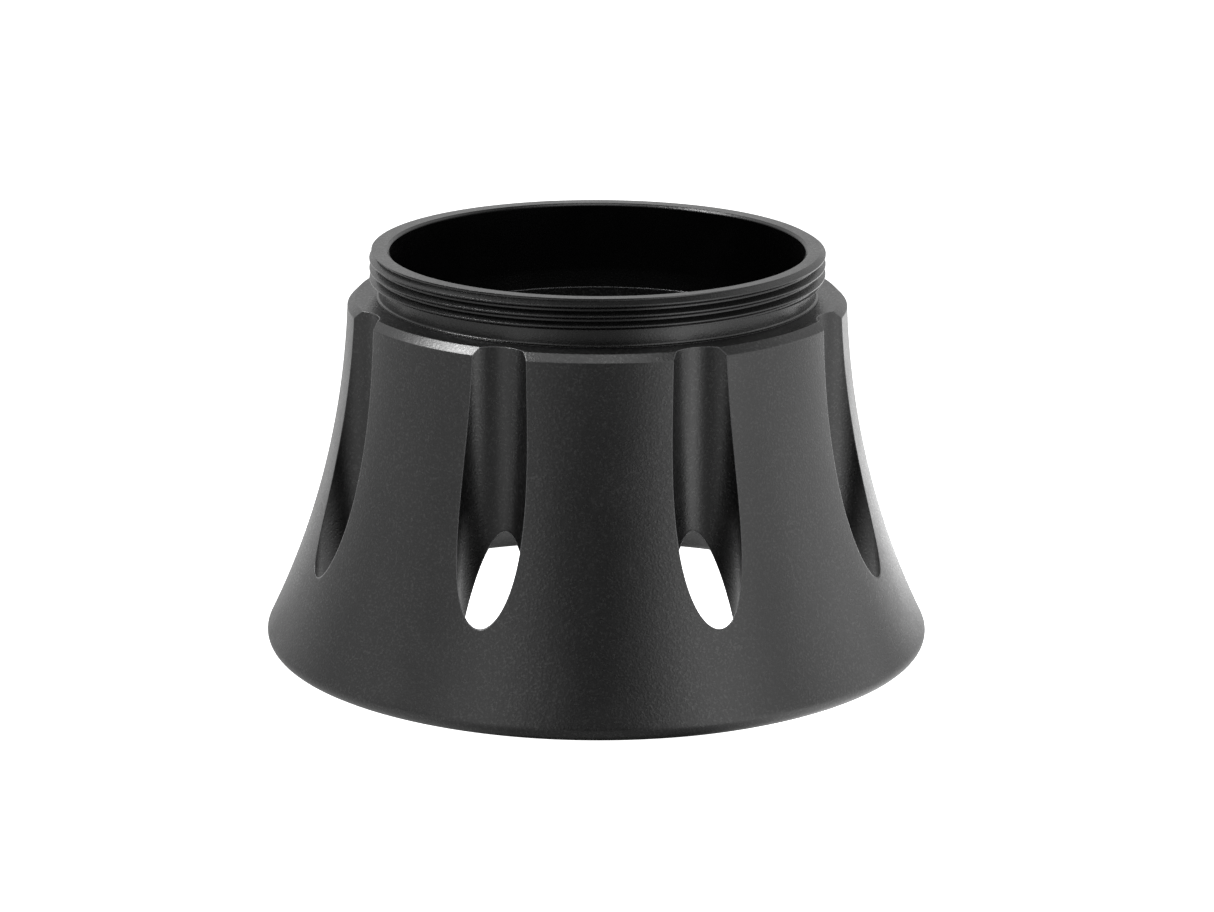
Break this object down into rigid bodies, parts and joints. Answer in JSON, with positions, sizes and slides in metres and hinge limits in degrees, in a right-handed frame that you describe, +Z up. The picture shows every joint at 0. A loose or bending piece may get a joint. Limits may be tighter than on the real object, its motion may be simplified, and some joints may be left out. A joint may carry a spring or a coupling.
{
  "type": "snoot",
  "caption": "Black metal snoot: flared, fluted skirt with vent slots, open through its bore, and a threaded neck on top.",
  "frame": {"origin": "on the axis, at the underside of the wide lip that the snoot stands on", "axes": "+Z up the axis, from the wide lip to the threaded neck; -Y is the front, midway between two flutes"},
  "size_m": [0.1, 0.1, 0.06],
  "materials": {
    "blasted_black_anodise": "bead-blasted and black anodised, fine satin grain",
    "turned_black_anodise": "fine-turned and black anodised, satin"
  },
  "bodies": {
    "root": {"fluted_skirt": "blasted_black_anodise", "threaded_neck": "turned_black_anodise"}
  },
  "joints": []
}
